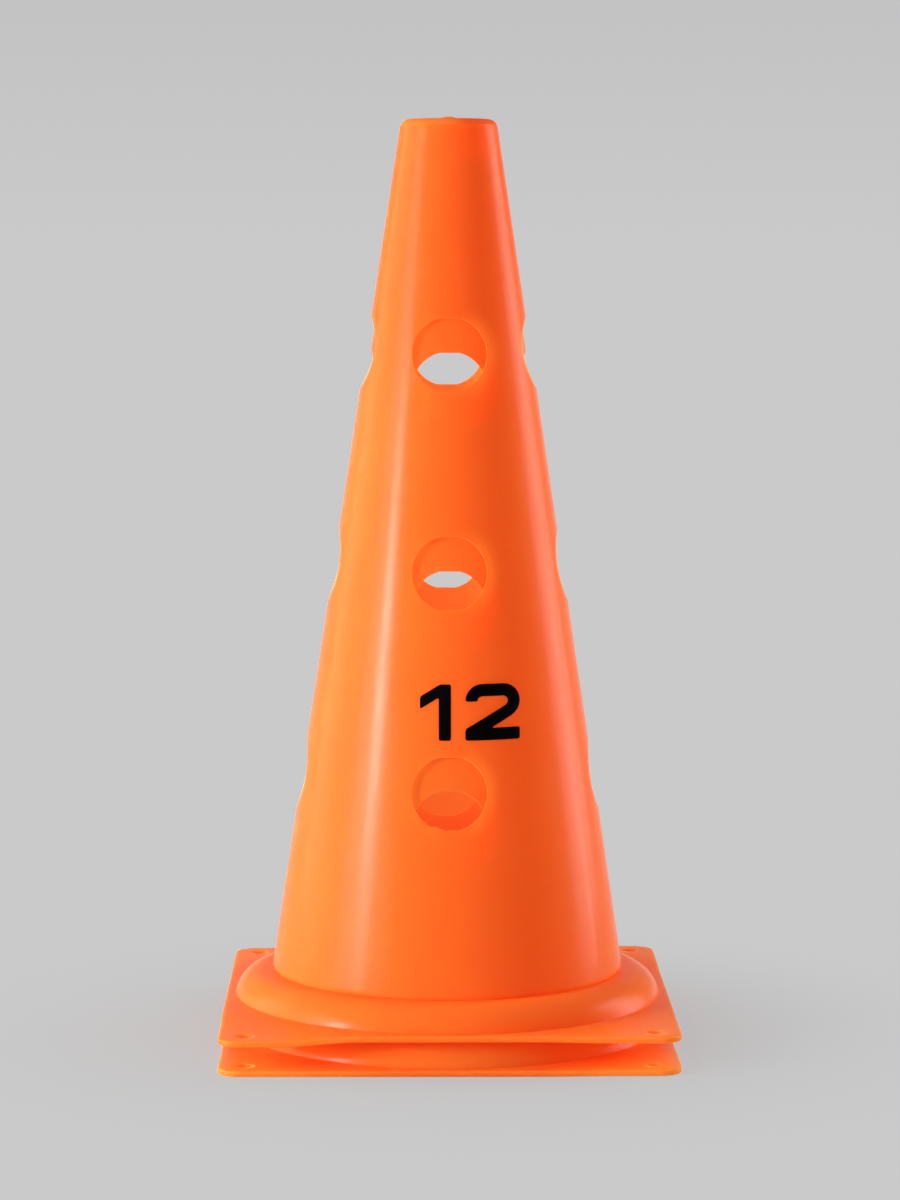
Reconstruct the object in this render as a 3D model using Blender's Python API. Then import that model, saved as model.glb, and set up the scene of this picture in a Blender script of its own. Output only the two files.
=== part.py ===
"""Two training cones with pole holes, one nested on the other.

Each cone is one flexible plastic moulding: a tapered wall with a closed crown,
a low rounded collar at its foot and a square plate with a small hole in each
corner. Twelve pole holes, three levels on each of the four sides, pass through
the wall. The upper cone sits on the lower one and lifts straight off.

Lengths are in metres, +Z is up and the origin is on the floor, on the axis.
"""
import math

import bmesh
import bpy

# Body of one cone
CONE_HEIGHT = 0.3800  # underside of the plate to the flat crown
FOOT_RADIUS = 0.0783  # outside of the wall, carried down to the underside
CROWN_RADIUS = 0.0204  # outside of the wall, carried up to the flat crown
WALL = 0.00187
CROWN_ROUND = 0.0042

# Moulding nub in the middle of the crown, a low dome
NUB_RADIUS = 0.0045
NUB_HEIGHT = 0.0011

# Where the wall curls in to meet the collar
TUCK_DEPTH = 0.0006
TUCK_HEIGHT = 0.0022

# Round collar between the wall and the plate
COLLAR_HEIGHT = 0.01335  # underside of the plate to the top of the collar
COLLAR_REACH = 0.0165  # from the crease to the foot of the collar's side
COLLAR_ROUND = 0.0129  # of its shoulder
COLLAR_DRAFT = math.radians(10.5)  # how far its side leans in
COLLAR_FILLET = 0.00035  # where the collar meets the plate

# Square plate
PLATE_THICKNESS = 0.00245
PLATE_MARGIN = 0.0035  # from the collar's fillet to the plate's side
PLATE_CORNER_RADIUS = 0.0090
PLATE_RIM_ROUND = 0.0006

# Peg holes, one in each corner of the plate
PEG_HOLE_RADIUS = 0.00375
PEG_HOLE_INSET = 0.0110  # from the plate's sides to the hole's centre

# Pole holes, round with a short flat above and below
POLE_HOLE_RADIUS = 0.0157
POLE_HOLE_RISE = 0.0151  # from the hole's centre to either flat
LOW_HOLE_HEIGHT = 0.0983  # underside of the plate to the lowest holes' centres
TOP_HOLE_DROP = 0.0994  # flat crown to the highest holes' centres
HOLE_LEVELS = 3

# Room between the nested cones, and how far a cut runs past what it cuts
SEAT_GAP = 0.0003
CUT_OVERRUN = 0.0020

# How finely the round shapes are divided
TURN_STEPS = 56
NUB_STEPS = 2
CROWN_STEPS = 3
TUCK_STEPS = 2
COLLAR_STEPS = 5
FILLET_STEPS = 2
PLATE_CORNER_STEPS = 5
PEG_HOLE_STEPS = 16
POLE_HOLE_ARC_STEPS = 9
SHARP_ANGLE = math.radians(32)
SAME_POINT = 0.000001

# Sizes that follow from the ones above
TAPER = math.atan((FOOT_RADIUS - CROWN_RADIUS) / CONE_HEIGHT)
WALL_ACROSS = WALL / math.cos(TAPER)  # the wall's thickness, measured level
CREASE_RADIUS = FOOT_RADIUS - COLLAR_HEIGHT * math.tan(TAPER) - TUCK_DEPTH
COLLAR_FOOT_RADIUS = CREASE_RADIUS + COLLAR_REACH + COLLAR_FILLET
PLATE_HALF_SIDE = COLLAR_FOOT_RADIUS + PLATE_MARGIN
PEG_HOLE_OFFSET = PLATE_HALF_SIDE - PEG_HOLE_INSET
TOP_HOLE_HEIGHT = CONE_HEIGHT - TOP_HOLE_DROP

# A round that ends in the draft is this share of its radius high, and the
# shoulder and its fillet together fit between the plate and the collar's top
ROUND_RISE_SHARE = 1 - math.sin(COLLAR_DRAFT)
COLLAR_RISE = COLLAR_HEIGHT - PLATE_THICKNESS
SHOULDER_ROUND = min(COLLAR_ROUND, COLLAR_RISE / ROUND_RISE_SHARE - COLLAR_FILLET)

# The upper cone stops where its wall meets the lower one's, or where its plate
# comes down to the lower collar, whichever is higher
NEST_PITCH = max((WALL + SEAT_GAP) / math.sin(TAPER), COLLAR_HEIGHT + SEAT_GAP)

ORANGE = (1.0, 0.19, 0.03, 1.0)
PLASTIC_ROUGHNESS = 0.38


def clear_scene():
    """Remove whatever the new file holds."""
    for item in list(bpy.data.objects):
        bpy.data.objects.remove(item, do_unlink=True)


def make_plastic(name):
    """Return the orange plastic of one cone."""
    material = bpy.data.materials.new(name)
    material.use_nodes = True
    shader = material.node_tree.nodes["Principled BSDF"]
    shader.inputs["Base Color"].default_value = ORANGE
    shader.inputs["Roughness"].default_value = PLASTIC_ROUGHNESS
    shader.inputs["Metallic"].default_value = 0.0
    material.diffuse_color = ORANGE
    return material


def outer_radius(height):
    """Return the outside radius of the tapered wall at a height."""
    return FOOT_RADIUS - height * math.tan(TAPER)


def inner_radius(height):
    """Return the inside radius of the tapered wall at a height."""
    return outer_radius(height) - WALL_ACROSS


def arc(centre, radius, start, end, steps):
    """Return (radius, height) points along an arc, both ends included."""
    points = []
    for step in range(steps + 1):
        angle = start + (end - start) * step / steps
        across = centre[0] + radius * math.cos(angle)
        up = centre[1] + radius * math.sin(angle)
        points.append((across, up))
    return points


def nub_profile():
    """Return the low dome of the nub, from the axis out to the crown."""
    sphere = (NUB_RADIUS ** 2 + NUB_HEIGHT ** 2) / (2 * NUB_HEIGHT)
    centre = (0, CONE_HEIGHT + NUB_HEIGHT - sphere)
    rim = math.acos(NUB_RADIUS / sphere)
    return arc(centre, sphere, math.pi / 2, rim, NUB_STEPS)


def crown_profile(offset):
    """Return the rounded edge of the crown, at an offset inside the surface."""
    up = CONE_HEIGHT - CROWN_ROUND
    centre = (outer_radius(up) - CROWN_ROUND / math.cos(TAPER), up)
    radius = max(CROWN_ROUND - offset, 0)
    return arc(centre, radius, math.pi / 2, TAPER, CROWN_STEPS)


def tuck_profile():
    """Return the foot of the wall, curling in to the crease on the collar."""
    points = []
    for step in range(TUCK_STEPS + 1):
        share = step / TUCK_STEPS
        height = COLLAR_HEIGHT + TUCK_HEIGHT * (1 - share)
        points.append((outer_radius(height) - TUCK_DEPTH * share ** 2, height))
    return points


def shoulder_centre():
    """Return the (radius, height) centre of the collar's rounded shoulder."""
    low = PLATE_THICKNESS + COLLAR_FILLET * ROUND_RISE_SHARE
    high = COLLAR_HEIGHT - SHOULDER_ROUND * ROUND_RISE_SHARE
    foot = COLLAR_FOOT_RADIUS - COLLAR_FILLET * math.cos(COLLAR_DRAFT)
    side = foot - (high - low) * math.tan(COLLAR_DRAFT)
    return (side - SHOULDER_ROUND * math.cos(COLLAR_DRAFT), COLLAR_HEIGHT - SHOULDER_ROUND)


def collar_profile(offset):
    """Return the collar's rounded shoulder, at an offset inside the surface."""
    radius = max(SHOULDER_ROUND - offset, 0)
    return arc(shoulder_centre(), radius, math.pi / 2, COLLAR_DRAFT, COLLAR_STEPS)


def inner_flank_radius(height):
    """Return the inside radius of the collar's leaning side at a height."""
    across, up = shoulder_centre()
    away = SHOULDER_ROUND - WALL - (height - up) * math.sin(COLLAR_DRAFT)
    return across + away / math.cos(COLLAR_DRAFT)


def body_profile():
    """Return the outside of a cone, from the axis at the top to the plate."""
    fillet_centre = (COLLAR_FOOT_RADIUS, PLATE_THICKNESS + COLLAR_FILLET)
    start, end = math.pi + COLLAR_DRAFT, 3 * math.pi / 2
    sunk = PLATE_THICKNESS / 2  # the body ends inside the plate
    points = nub_profile() + crown_profile(0) + tuck_profile() + collar_profile(0)
    points += arc(fillet_centre, COLLAR_FILLET, start, end, FILLET_STEPS)
    points += [(COLLAR_FOOT_RADIUS, sunk), (0, sunk)]
    return points


def hollow_profile():
    """Return the inside of a cone, from the axis at the top to below the plate."""
    ceiling = COLLAR_HEIGHT - WALL
    points = [(0, CONE_HEIGHT - WALL)] + crown_profile(WALL)
    points += [(inner_radius(ceiling), ceiling)] + collar_profile(WALL)
    points += [(inner_flank_radius(-CUT_OVERRUN), -CUT_OVERRUN), (0, -CUT_OVERRUN)]
    return points


def hole_outline():
    """Return the (across, up) outline of a pole hole about its centre."""
    reach = math.asin(min(POLE_HOLE_RISE / POLE_HOLE_RADIUS, 1))
    right = arc((0, 0), POLE_HOLE_RADIUS, -reach, reach, POLE_HOLE_ARC_STEPS)
    left = arc((0, 0), POLE_HOLE_RADIUS, math.pi - reach, math.pi + reach, POLE_HOLE_ARC_STEPS)
    return right + left


def finish_mesh(form, name):
    """Weld a form, turn its faces outwards and store it as a smooth mesh."""
    bmesh.ops.remove_doubles(form, verts=form.verts, dist=SAME_POINT)
    bmesh.ops.recalc_face_normals(form, faces=form.faces)
    mesh = bpy.data.meshes.new(name)
    form.to_mesh(mesh)
    form.free()
    mesh.shade_smooth()
    mesh.set_sharp_from_angle(angle=SHARP_ANGLE)
    return mesh


def turned_mesh(name, profile):
    """Spin a (radius, height) profile into a closed solid."""
    form = bmesh.new()
    points = [form.verts.new((across, 0, up)) for across, up in profile]
    for first, second in zip(points, points[1:]):
        form.edges.new((first, second))
    bmesh.ops.spin(form, geom=form.verts[:] + form.edges[:], cent=(0, 0, 0),
                   axis=(0, 0, 1), angle=2 * math.pi, steps=TURN_STEPS, use_merge=True)
    return finish_mesh(form, name)


def plate_mesh():
    """Return the square plate as a solid slab with rounded corners and rims."""
    form = bmesh.new()
    bmesh.ops.create_cube(form, size=1)
    side = 2 * PLATE_HALF_SIDE
    bmesh.ops.scale(form, vec=(side, side, PLATE_THICKNESS), verts=form.verts)
    bmesh.ops.translate(form, vec=(0, 0, PLATE_THICKNESS / 2), verts=form.verts)
    upright = [edge for edge in form.edges if is_upright(edge)]
    bmesh.ops.bevel(form, geom=upright, offset=PLATE_CORNER_RADIUS, offset_type="OFFSET",
                    segments=PLATE_CORNER_STEPS, profile=0.5, affect="EDGES")
    rims = [edge for edge in form.edges if not is_upright(edge)]
    bmesh.ops.bevel(form, geom=rims, offset=PLATE_RIM_ROUND, offset_type="OFFSET",
                    segments=1, profile=0.5, affect="EDGES")
    return finish_mesh(form, "plate")


def is_upright(edge):
    """Tell whether an edge joins the plate's two faces."""
    return abs(edge.verts[0].co.z - edge.verts[1].co.z) > PLATE_THICKNESS / 2


def add_prism(form, outline, travel):
    """Add a closed prism to a form: an outline carried along a travel vector."""
    corners = [form.verts.new(point) for point in outline]
    face = form.faces.new(corners)
    swept = bmesh.ops.extrude_face_region(form, geom=[face], use_keep_orig=True)
    moved = [item for item in swept["geom"] if isinstance(item, bmesh.types.BMVert)]
    bmesh.ops.translate(form, vec=travel, verts=moved)


def hole_heights():
    """Return the heights of the pole holes' centres, lowest first."""
    step = (TOP_HOLE_HEIGHT - LOW_HOLE_HEIGHT) / (HOLE_LEVELS - 1)
    return [LOW_HOLE_HEIGHT + step * level for level in range(HOLE_LEVELS)]


def pole_drill_mesh(name, along_x):
    """Return one level prism per hole level, which cuts both opposite walls."""
    form = bmesh.new()
    start = -FOOT_RADIUS - CUT_OVERRUN
    length = 2 * (FOOT_RADIUS + CUT_OVERRUN)
    for height in hole_heights():
        if along_x:
            outline = [(start, across, height + up) for across, up in hole_outline()]
            add_prism(form, outline, (length, 0, 0))
        else:
            outline = [(across, start, height + up) for across, up in hole_outline()]
            add_prism(form, outline, (0, length, 0))
    return finish_mesh(form, name)


def peg_drill_mesh():
    """Return four short upright cylinders, one in each corner of the plate."""
    form = bmesh.new()
    length = PLATE_THICKNESS + 2 * CUT_OVERRUN
    for side_x in (-1, 1):
        for side_y in (-1, 1):
            outline = []
            for step in range(PEG_HOLE_STEPS):
                angle = 2 * math.pi * step / PEG_HOLE_STEPS
                x = side_x * PEG_HOLE_OFFSET + PEG_HOLE_RADIUS * math.cos(angle)
                y = side_y * PEG_HOLE_OFFSET + PEG_HOLE_RADIUS * math.sin(angle)
                outline.append((x, y, -CUT_OVERRUN))
            add_prism(form, outline, (0, 0, length))
    return finish_mesh(form, "peg_drills")


def link_object(name, mesh):
    """Put a mesh into the scene as an object."""
    item = bpy.data.objects.new(name, mesh)
    bpy.context.scene.collection.objects.link(item)
    return item


def add_tool(cone, mesh, operation):
    """Join or cut a cone with a hidden tool that moves with it."""
    tool = link_object(f"{cone.name}_{mesh.name}_tool", mesh)
    tool.parent = cone
    tool.hide_render = True
    tool.display_type = "WIRE"
    step = cone.modifiers.new(mesh.name, "BOOLEAN")
    step.operation = operation
    step.solver = "EXACT"
    step.object = tool


def make_cone(name, body, tools, height):
    """Build one cone at a height above the floor from the shared forms."""
    cone = link_object(name, body.copy())
    cone.location = (0, 0, height)
    cone.data.materials.append(make_plastic(f"{name}_plastic"))
    for mesh, operation in tools:
        add_tool(cone, mesh, operation)
    return cone


def main():
    """Build the nested pair."""
    clear_scene()
    body = turned_mesh("body", body_profile())
    tools = [
        (plate_mesh(), "UNION"),
        (turned_mesh("hollow", hollow_profile()), "DIFFERENCE"),
        (pole_drill_mesh("front_drills", along_x=False), "DIFFERENCE"),
        (pole_drill_mesh("side_drills", along_x=True), "DIFFERENCE"),
        (peg_drill_mesh(), "DIFFERENCE"),
    ]
    make_cone("lower_cone", body, tools, 0)
    make_cone("upper_cone", body, tools, NEST_PITCH)


main()
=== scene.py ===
"""Two nested training cones with pole holes, dressed for a plain studio picture.

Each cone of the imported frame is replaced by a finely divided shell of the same
sizes. A quarter of the shell is modelled, and Geometry Nodes repeat it about the
axis and soften its form. The upper cone carries a printed number. Lengths are in
metres, +Z is up, and the front of the object faces -Y.
"""

import logging
import math
from collections.abc import Callable, Mapping, Sequence
from dataclasses import dataclass, field
from enum import Enum
from functools import reduce

import bmesh
import bpy
from bpy.types import Material, Mesh, Node, NodeOutputs, NodeSocket, Object
from mathutils import Matrix, Vector
from mathutils.bvhtree import BVHTree
from mathutils.geometry import delaunay_2d_cdt


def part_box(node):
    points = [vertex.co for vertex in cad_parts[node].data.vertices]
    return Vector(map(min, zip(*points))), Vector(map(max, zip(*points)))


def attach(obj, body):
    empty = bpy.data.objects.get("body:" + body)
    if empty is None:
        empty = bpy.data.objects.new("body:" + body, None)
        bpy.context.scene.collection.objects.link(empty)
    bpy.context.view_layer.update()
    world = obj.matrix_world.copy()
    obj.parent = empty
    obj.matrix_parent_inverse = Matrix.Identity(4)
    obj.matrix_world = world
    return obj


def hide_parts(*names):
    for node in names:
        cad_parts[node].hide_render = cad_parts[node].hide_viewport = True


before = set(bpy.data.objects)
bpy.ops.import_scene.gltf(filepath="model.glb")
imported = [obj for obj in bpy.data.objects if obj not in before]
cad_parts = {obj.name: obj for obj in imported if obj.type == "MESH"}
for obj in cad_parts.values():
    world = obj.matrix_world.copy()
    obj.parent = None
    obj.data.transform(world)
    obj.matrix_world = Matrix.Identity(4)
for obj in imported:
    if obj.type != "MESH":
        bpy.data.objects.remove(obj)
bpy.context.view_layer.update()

MM = 0.001
SAME_POINT = 0.001 * MM
WELD_DISTANCE = 5 * SAME_POINT
QUARTER_TURN = 90.0

Pair = tuple[float, float]
Triple = tuple[float, float, float]
Colour = tuple[float, float, float, float]
Outline = Callable[[float], list[Pair]]
Placer = Callable[[float, float], Vector]
Keeper = Callable[[Vector], bool]

log = logging.getLogger("training_cones")


class Face(Enum):
    """The two faces of a cone's wall."""

    OUTSIDE = "outside"
    INSIDE = "inside"


class Corner(Enum):
    """A corner of the plate, as the signs of its x and y."""

    FRONT_LEFT = (-1.0, -1.0)
    FRONT_RIGHT = (1.0, -1.0)
    BACK_RIGHT = (1.0, 1.0)
    BACK_LEFT = (-1.0, 1.0)

    @property
    def drop_input(self) -> str:
        """Return the name of the tree's input for this corner's drop."""
        return f"{self.name.replace('_', ' ').title()} Drop"


@dataclass(frozen=True)
class ConeForm:
    """Sizes of one moulded cone, measured from the underside of its plate."""

    height: float = 380.0 * MM
    foot_radius: float = 78.3 * MM
    crown_radius: float = 20.4 * MM
    wall: float = 1.87 * MM
    crown_round: float = 4.2 * MM
    nub_radius: float = 4.5 * MM
    nub_height: float = 1.1 * MM
    tuck_depth: float = 0.6 * MM
    tuck_height: float = 2.2 * MM
    collar_height: float = 13.35 * MM
    collar_reach: float = 16.5 * MM
    collar_round: float = 12.9 * MM
    collar_draft: float = math.radians(10.5)
    collar_fillet: float = 0.35 * MM
    plate_thickness: float = 2.45 * MM
    plate_margin: float = 3.5 * MM
    plate_corner: float = 9.0 * MM
    plate_rim: float = 0.6 * MM
    peg_hole_radius: float = 3.75 * MM
    peg_hole_inset: float = 11.0 * MM
    pole_hole_radius: float = 15.7 * MM
    pole_hole_rise: float = 15.1 * MM
    low_hole: float = 98.3 * MM
    top_hole_drop: float = 99.4 * MM
    hole_levels: int = 3
    lip_round: float = 0.5 * MM

    @property
    def taper(self) -> float:
        """Return the angle between the wall and the axis."""
        return math.atan((self.foot_radius - self.crown_radius) / self.height)

    @property
    def collar_foot(self) -> float:
        """Return the radius at which the collar's fillet meets the plate."""
        crease = self.radius(Face.OUTSIDE, self.collar_height) - self.tuck_depth
        return crease + self.collar_reach + self.collar_fillet

    @property
    def shoulder(self) -> Pair:
        """Find the centre of the collar's rounded shoulder.

        Returns:
            Its distance from the axis and its height.
        """
        lean, turn = self.collar_draft, self.collar_round
        low = self.plate_thickness + self.collar_fillet * (1 - math.sin(lean))
        high = self.collar_height - turn * (1 - math.sin(lean))
        foot = self.collar_foot - self.collar_fillet * math.cos(lean)
        across = foot - (high - low) * math.tan(lean) - turn * math.cos(lean)
        return across, self.collar_height - turn

    @property
    def lip_radius(self) -> float:
        """Find where the lip meets the plate's underside.

        Returns:
            The distance from the axis.
        """
        across, up = self.shoulder
        away = self.collar_round - self.wall + self.lip_round
        away += (up - self.lip_round) * math.sin(self.collar_draft)
        return across + away / math.cos(self.collar_draft)

    @property
    def half_side(self) -> float:
        """Return half the side of the square plate."""
        return self.collar_foot + self.plate_margin

    @property
    def ceiling(self) -> float:
        """Return the height of the collar's underside."""
        return self.collar_height - self.wall

    def radius(self, face: Face, height: float) -> float:
        """Return the radius of one face of the wall at a height above the plate's underside."""
        outside = self.foot_radius - height * math.tan(self.taper)
        return outside if face is Face.OUTSIDE else outside - self.wall / math.cos(self.taper)

    def hole_heights(self) -> list[float]:
        """Return the heights of the pole holes' centres, lowest first."""
        step = (self.height - self.top_hole_drop - self.low_hole) / (self.hole_levels - 1)
        return [self.low_hole + step * level for level in range(self.hole_levels)]

    def hole_distance(self, across: float, height: float) -> float:
        """Find how far a point lies outside the nearest pole hole's outline.

        Args:
            across: level distance from the hole's centre line.
            height: height above the underside of the plate.

        Returns:
            The distance, negative inside the hole.
        """
        rise = min((height - centre for centre in self.hole_heights()), key=abs)
        round_part = math.hypot(across, rise) - self.pole_hole_radius
        return max(round_part, abs(rise) - self.pole_hole_rise)


@dataclass(frozen=True)
class Fineness:
    """How finely a shell is divided."""

    quarter: int = 48
    row_pitch: float = 6.0 * MM
    nub: int = 5
    crown: int = 8
    tuck: int = 6
    collar: int = 14
    fillet: int = 4
    rim: int = 3
    plate_corner: int = 12
    plate_side: int = 30
    hole_arc: int = 24
    hole_flat: int = 8
    peg: int = 32
    hole_rings: tuple[float, ...] = (0.2 * MM, 0.8 * MM, 1.6 * MM, 2.8 * MM, 4.4 * MM)
    peg_rings: tuple[float, ...] = (0.2 * MM, 0.7 * MM, 1.6 * MM)
    outer_rim: float = 0.1 * MM
    inner_rim: float = 0.1 * MM
    clearance: float = 1.4 * MM


def new_object(name: str, data: bpy.types.ID) -> Object:
    """Make an object and link it to the scene.

    Args:
        name: the object's name.
        data: its mesh, lamp or camera.

    Returns:
        The object.
    """
    thing = bpy.data.objects.new(name, data)
    bpy.context.scene.collection.objects.link(thing)
    return thing


def new_mesh(name: str, form: bmesh.types.BMesh) -> Mesh:
    """Turn an edited form into a mesh, and free the form.

    Args:
        name: the mesh's name.
        form: the edited form.

    Returns:
        The mesh.
    """
    mesh = bpy.data.meshes.new(name)
    form.to_mesh(mesh)
    form.free()
    return mesh


def arc(centre: Pair, radius: float, start: float, end: float, steps: int) -> list[Pair]:
    """Divide an arc.

    Args:
        centre: centre of the arc.
        radius: its radius.
        start: angle of the first point.
        end: angle of the last point.
        steps: number of segments.

    Returns:
        The points, first to last, both ends included.
    """
    angles = [start + (end - start) * step / steps for step in range(steps + 1)]
    return [(centre[0] + radius * math.cos(a), centre[1] + radius * math.sin(a)) for a in angles]


def rounded_edge(first: Vector, corner: Vector, last: Vector, steps: int) -> list[Vector]:
    """Divide a small round between two faces.

    Args:
        first: where the round leaves the first face.
        corner: where the faces would meet.
        last: where the round meets the second face.
        steps: number of segments.

    Returns:
        The points after the first one, the last one included.
    """
    shares = [step / steps for step in range(1, steps + 1)]
    return [first * (1 - t) ** 2 + corner * 2 * t * (1 - t) + last * t ** 2 for t in shares]


class Panel:
    """A sheet that is gathered row by row and patch by patch, then welded."""

    def __init__(self) -> None:
        """Start an empty sheet."""
        self.points: list[Vector] = []
        self.faces: list[tuple[int, ...]] = []

    def add_points(self, points: Sequence[Vector]) -> list[int]:
        """Store points and return their numbers."""
        self.points.extend(points)
        return list(range(len(self.points) - len(points), len(self.points)))

    def add_rows(self, rows: Sequence[Sequence[Vector]], closed: bool = False) -> None:
        """Store rows of points and join each to the next with four-sided faces.

        Args:
            rows: the rows, all of the same length.
            closed: whether each row runs back to its first point.
        """
        numbers = [self.add_points(row) for row in rows]
        if closed:
            numbers = [row + row[:1] for row in numbers]
        for first, second in zip(numbers, numbers[1:]):
            self.faces += zip(first, first[1:], second[1:], second)

    def add_patch(self, outlines: Sequence[Sequence[Pair]], loose: Sequence[Pair],
                  place: Placer, keep: Keeper, width: float = 1.0) -> None:
        """Fill flat outlines with triangles and lay them on their places.

        Args:
            outlines: closed runs of points that triangles mayn't cross.
            loose: points between the outlines.
            place: gives a flat point's place in space.
            keep: tells from a triangle's middle in space whether it stays.
            width: what stretches the flat points across before they are joined.
        """
        points: list[Pair] = []
        edges: list[tuple[int, int]] = []
        for outline in outlines:
            first, count = len(points), len(outline)
            points += outline
            edges += [(first + step, first + (step + 1) % count) for step in range(count)]
        points += loose
        flat = [Vector((width * across, up)) for across, up in points]
        found = delaunay_2d_cdt(flat, edges, [], 0, SAME_POINT)
        places = [place(*point) for point in points]
        numbers = self.add_points(places)
        for triangle in found[2]:
            corners = [found[3][corner][0] for corner in triangle]
            if keep(sum((places[corner] for corner in corners), Vector()) / 3):
                self.faces.append(tuple(numbers[corner] for corner in corners))

    def welded(self, name: str) -> Mesh:
        """Weld the sheet's doubled points.

        Args:
            name: the mesh's name.

        Returns:
            The sheet as a mesh.
        """
        form = bmesh.new()
        corners = [form.verts.new(point) for point in self.points]
        for face in self.faces:
            form.faces.new([corners[number] for number in face])
        bmesh.ops.remove_doubles(form, verts=form.verts, dist=SAME_POINT)
        bmesh.ops.dissolve_degenerate(form, edges=form.edges, dist=SAME_POINT)
        return new_mesh(name, form)


@dataclass
class QuarterShell:
    """A quarter of a cone's shell: the front side and the front right corner."""

    form: ConeForm
    fineness: Fineness = field(default_factory=Fineness)

    def build(self) -> Mesh:
        """Build the quarter.

        Returns:
            One open sheet.
        """
        panel, form = Panel(), self.form
        for profile in (self.top_profile(Face.OUTSIDE), self.foot_profile(),
                        self.top_profile(Face.INSIDE), self.under_profile()):
            panel.add_rows([[self.turned(across, turn, up) for turn in self.turns()]
                            for across, up in profile])
        self.add_wall(panel, Face.OUTSIDE, form.collar_height + form.tuck_height)
        self.add_wall(panel, Face.INSIDE, form.ceiling)
        for centre in form.hole_heights():
            self.add_tunnel(panel, centre)
        self.add_plate_face(panel, form.plate_thickness, form.collar_foot)
        self.add_plate_face(panel, 0.0, form.lip_radius)
        self.add_plate_side(panel, self.plate_outline, form.plate_rim)
        self.add_plate_side(panel, self.peg_ring, self.fineness.inner_rim, closed=True)
        return panel.welded("cone_quarter")

    def turns(self) -> list[float]:
        """Return the angles from the front at which the quarter is divided."""
        count, half = self.fineness.quarter, QUARTER_TURN / 2
        return [math.radians(QUARTER_TURN * step / count - half) for step in range(count + 1)]

    @staticmethod
    def turned(across: float, turn: float, up: float) -> Vector:
        """Return the point at a radius, an angle from the front and a height."""
        return Vector((across * math.sin(turn), -across * math.cos(turn), up))

    def crown_arc(self, offset: float) -> list[Pair]:
        """Divide the rounded edge of the crown.

        Args:
            offset: how far inside the outer surface the arc lies.

        Returns:
            (radius, height) points, from the top outwards.
        """
        form = self.form
        up = form.height - form.crown_round
        middle = form.radius(Face.OUTSIDE, up) - form.crown_round / math.cos(form.taper)
        return arc((middle, up), form.crown_round - offset, math.pi / 2, form.taper,
                   self.fineness.crown)

    def top_profile(self, face: Face) -> list[Pair]:
        """Draw the crown from the axis to the top of the wall.

        Args:
            face: which face of the shell is meant.

        Returns:
            (radius, height) points.
        """
        form = self.form
        if face is Face.INSIDE:
            return [(0.0, form.height - form.wall)] + self.crown_arc(form.wall)
        sphere = (form.nub_radius ** 2 + form.nub_height ** 2) / (2 * form.nub_height)
        rim = math.acos(form.nub_radius / sphere)
        centre = (0.0, form.height + form.nub_height - sphere)
        return arc(centre, sphere, math.pi / 2, rim, self.fineness.nub) + self.crown_arc(0.0)

    def foot_profile(self) -> list[Pair]:
        """Draw the outside from the wall's foot over the collar to the plate.

        Returns:
            (radius, height) points.
        """
        form, fine, lean = self.form, self.fineness, self.form.collar_draft
        points = []
        for step in range(fine.tuck + 1):
            share = step / fine.tuck
            up = form.collar_height + form.tuck_height * (1 - share)
            points.append((form.radius(Face.OUTSIDE, up) - form.tuck_depth * share ** 2, up))
        points += arc(form.shoulder, form.collar_round, math.pi / 2, lean, fine.collar)
        foot = (form.collar_foot, form.plate_thickness + form.collar_fillet)
        points += arc(foot, form.collar_fillet, math.pi + lean, 3 * math.pi / 2, fine.fillet)
        return points

    def under_profile(self) -> list[Pair]:
        """Draw the collar's underside from the wall to the plate's underside.

        Returns:
            (radius, height) points.
        """
        form, fine, lean = self.form, self.fineness, self.form.collar_draft
        points = [(form.radius(Face.INSIDE, form.ceiling), form.ceiling)]
        points += arc(form.shoulder, form.collar_round - form.wall, math.pi / 2, lean, fine.collar)
        points += arc((form.lip_radius, form.lip_round), form.lip_round, math.pi + lean,
                      3 * math.pi / 2, fine.fillet)
        return points

    def wall_end(self, face: Face) -> float:
        """Return the height at which the wall runs into the crown's round."""
        offset = 0.0 if face is Face.OUTSIDE else self.form.wall
        return self.crown_arc(offset)[-1][1]

    def on_wall(self, face: Face, across: float, up: float) -> Vector:
        """Return the point of the front wall at a distance across and a height."""
        radius = self.form.radius(face, up)
        return Vector((across, -math.sqrt(radius ** 2 - across ** 2), up))

    def hole_ring(self, centre: float, offset: float) -> list[Pair]:
        """Draw the outline of a pole hole.

        Args:
            centre: height of the hole's centre.
            offset: distance outside the hole's edge.

        Returns:
            (across, height) points, once round.
        """
        form, fine = self.form, self.fineness
        reach = math.asin(form.pole_hole_rise / form.pole_hole_radius)
        radius, rise = form.pole_hole_radius + offset, form.pole_hole_rise + offset
        ring: list[Pair] = []
        for start in (0.0, math.pi):
            side = arc((0.0, 0.0), radius, start - reach, start + reach, fine.hole_arc)
            side = [(x, max(min(y, rise), -rise)) for x, y in side]
            end = (side[-1][0], math.copysign(rise, side[-1][1]))
            side[-1], side[0] = end, (end[0], -end[1])
            ring += side
            for step in range(1, fine.hole_flat):
                ring.append((end[0] * (1 - 2 * step / fine.hole_flat), end[1]))
        return [(x, centre + y) for x, y in ring]

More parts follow.
